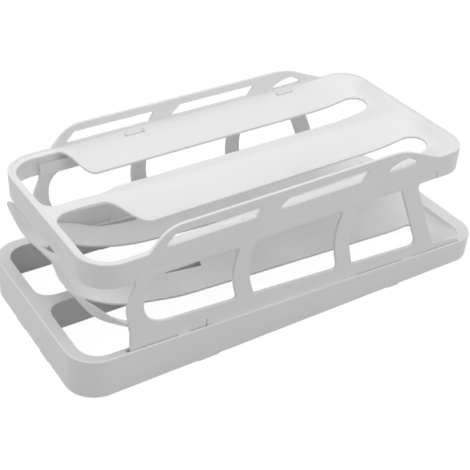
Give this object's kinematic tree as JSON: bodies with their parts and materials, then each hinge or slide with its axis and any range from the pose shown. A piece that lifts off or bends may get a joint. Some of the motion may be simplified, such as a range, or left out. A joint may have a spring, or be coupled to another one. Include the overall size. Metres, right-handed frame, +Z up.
{
  "type": "rolling egg dispenser",
  "caption": "Two-tier rolling egg dispenser: sloping W-shaped lanes, a ramp under drop holes, windowed side panels and a pick-up bowl.",
  "frame": {"origin": "bottom centre of the dispenser, on the surface that it stands on", "axes": "+X along the lanes towards the pick-up end, +Y to the rear panel, +Z up"},
  "size_m": [0.37, 0.1572, 0.127],
  "materials": {
    "white_plastic": "satin, moulded"
  },
  "bodies": {
    "root": {"base_tray": "white_plastic", "ramp": "white_plastic", "upper_tray": "white_plastic", "side_panel_front": "white_plastic", "side_panel_rear": "white_plastic"}
  },
  "joints": []
}
